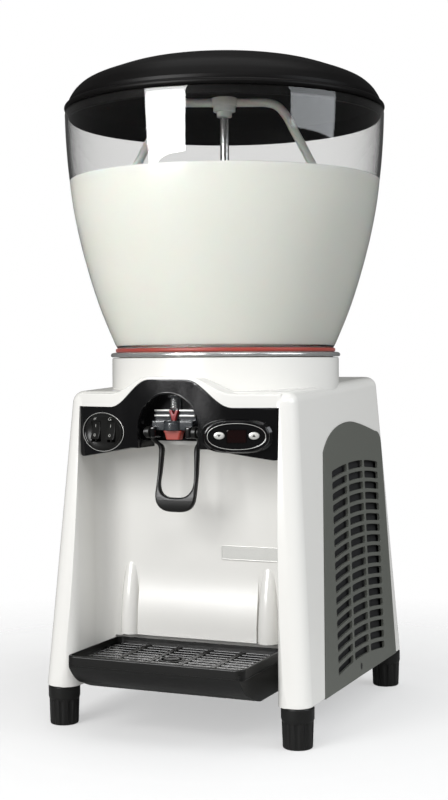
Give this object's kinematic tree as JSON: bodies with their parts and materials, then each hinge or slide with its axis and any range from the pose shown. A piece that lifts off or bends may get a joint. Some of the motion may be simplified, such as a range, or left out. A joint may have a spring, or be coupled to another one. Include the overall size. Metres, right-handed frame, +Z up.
{
  "type": "refrigerated drink dispenser",
  "caption": "Countertop refrigerated drink dispenser: tall clear bowl with stirrer, dark lid, white casing, push-handle tap, drip tray, vented sides.",
  "frame": {"origin": "centre of the footprint, on the surface that the feet stand on", "axes": "+Z up along the bowl's axis, -Y towards the tap, +X to the right seen from the front"},
  "size_m": [0.36, 0.386, 0.724],
  "materials": {
    "white_casing": "glossy, warm white",
    "black_gloss": "glossy black",
    "black_satin": "satin, near black",
    "grey_panel": "satin, dark grey",
    "clear_bowl": "clear plastic, polished",
    "steel": "satin stainless",
    "sheet_steel": "zinc-coated sheet",
    "red_rubber": "matt red",
    "red_plastic": "satin red",
    "milky_plastic": "satin, translucent white",
    "smoke_plastic": "clear smoke grey",
    "foam": "matt foam",
    "copper": "drawn copper",
    "dark_paint": "satin black paint",
    "board_green": "matt circuit board",
    "dark_red": "dark red tinted window",
    "silver": "satin silver",
    "black_rubber": "matt"
  },
  "bodies": {
    "cabinet": {"casing": "white_casing", "base_plate": "sheet_steel", "rear_cover": "grey_panel", "mains_inlet": "black_satin", "side_panel_right": "grey_panel", "side_panel_left": "grey_panel", "panel_screw_right": "sheet_steel", "panel_screw_left": "sheet_steel", "fascia": "black_gloss", "switch_dish": "black_gloss", "switch_body_cooling": "dark_paint", "switch_body_stirrer": "dark_paint", "display_pod": "black_gloss", "display_window": "dark_red", "display_board": "board_green", "badge_plate": "silver", "tap_body": "smoke_plastic", "tap_nozzle": "red_rubber", "tap_spring": "steel", "handle_pin_left": "sheet_steel", "handle_pin_right": "sheet_steel", "outlet_pipe": "steel", "bowl_gasket": "red_rubber", "cooling_plate": "steel", "cooling_coil": "copper", "foam_collar": "foam", "drive_bracket": "sheet_steel", "gear_motor": "dark_paint", "guide_tube": "steel", "compressor": "dark_paint", "compressor_mount_front_left": "black_rubber", "compressor_mount_front_right": "black_rubber", "compressor_mount_rear_left": "black_rubber", "compressor_mount_rear_right": "black_rubber", "condenser": "sheet_steel", "fan_shroud": "sheet_steel", "fan_motor": "dark_paint", "control_board": "board_green", "filter_drier": "copper", "suction_line": "copper", "capillary_line": "copper"},
    "bowl": {"bowl": "clear_bowl"},
    "lid": {"lid": "black_satin"},
    "stirrer_drive": {"drive_shaft": "steel", "stirrer": "milky_plastic"},
    "fan_rotor": {"fan_blade": "black_satin"},
    "tap_handle": {"tap_handle": "black_satin"},
    "tap_plunger": {"tap_plunger": "red_plastic"},
    "rocker_cooling": {"rocker_cooling": "black_satin"},
    "rocker_stirrer": {"rocker_stirrer": "black_satin"},
    "button_down": {"button_down": "silver"},
    "button_up": {"button_up": "silver"},
    "drip_tray": {"drip_tray": "black_satin"},
    "drip_grid": {"drip_grid": "black_satin"},
    "tray_float": {"tray_float": "black_satin"},
    "foot_front_left": {"foot_front_left": "black_satin"},
    "foot_front_right": {"foot_front_right": "black_satin"},
    "foot_rear_left": {"foot_rear_left": "black_satin"},
    "foot_rear_right": {"foot_rear_right": "black_satin"}
  },
  "joints": [
    {"name": "bowl_lift", "type": "slide", "parent": "cabinet", "child": "bowl", "axis": [0, 0, 1], "range_m": [0, 0.025]},
    {"name": "lid_lift", "type": "slide", "parent": "bowl", "child": "lid", "axis": [0, 0, 1], "range_m": [0, 0.08]},
    {"name": "stirrer_turn", "type": "hinge", "parent": "cabinet", "child": "stirrer_drive", "pos_m": [0, 0, 0.4], "axis": [0, 0, 1], "continuous": true},
    {"name": "fan_turn", "type": "hinge", "parent": "cabinet", "child": "fan_rotor", "pos_m": [-0.085, 0.046, 0.1403], "axis": [1, 0, 0], "continuous": true},
    {"name": "handle_push", "type": "hinge", "parent": "cabinet", "child": "tap_handle", "pos_m": [0, -0.1435, 0.3155], "axis": [1, 0, 0], "range_deg": [0, 25], "stiffness_Nm_per_rad": 0.022, "springref_deg": -25.78},
    {"name": "plunger_lift", "type": "slide", "parent": "cabinet", "child": "tap_plunger", "axis": [0, 0, 1], "range_m": [0, 0.0029], "deforming": ["tap_spring"]},
    {"name": "rocker_cooling_tilt", "type": "hinge", "parent": "cabinet", "child": "rocker_cooling", "pos_m": [-0.08845, -0.13142, 0.3147], "axis": [0.9583, -0.2857, 0], "range_deg": [0, 20]},
    {"name": "rocker_stirrer_tilt", "type": "hinge", "parent": "cabinet", "child": "rocker_stirrer", "pos_m": [-0.06641, -0.13799, 0.3147], "axis": [0.9583, -0.2857, 0], "range_deg": [0, 20]},
    {"name": "button_down_press", "type": "slide", "parent": "cabinet", "child": "button_down", "axis": [-0.2714, 0.9625, 0], "range_m": [0, 0.0008], "stiffness_N_per_m": 600, "springref_m": -0.0005},
    {"name": "button_up_press", "type": "slide", "parent": "cabinet", "child": "button_up", "axis": [-0.2714, 0.9625, 0], "range_m": [0, 0.0008], "stiffness_N_per_m": 600, "springref_m": -0.0005},
    {"name": "tray_pull", "type": "slide", "parent": "cabinet", "child": "drip_tray", "axis": [0, -1, 0], "range_m": [0, 0.06]},
    {"name": "grid_lift", "type": "slide", "parent": "drip_tray", "child": "drip_grid", "axis": [0, 0, 1], "range_m": [0, 0.008]},
    {"name": "float_rise", "type": "slide", "parent": "drip_tray", "child": "tray_float", "axis": [0, 0, 1], "range_m": [0, 0.006]},
    {"name": "foot_front_left_screw", "type": "slide", "parent": "cabinet", "child": "foot_front_left", "axis": [0, 0, -1], "range_m": [0, 0.01]},
    {"name": "foot_front_right_screw", "type": "slide", "parent": "cabinet", "child": "foot_front_right", "axis": [0, 0, -1], "range_m": [0, 0.01]},
    {"name": "foot_rear_left_screw", "type": "slide", "parent": "cabinet", "child": "foot_rear_left", "axis": [0, 0, -1], "range_m": [0, 0.01]},
    {"name": "foot_rear_right_screw", "type": "slide", "parent": "cabinet", "child": "foot_rear_right", "axis": [0, 0, -1], "range_m": [0, 0.01]}
  ],
  "couplings": [
    {"joint": "plunger_lift", "follows": "handle_push", "m_per_rad": 0.0066457}
  ]
}
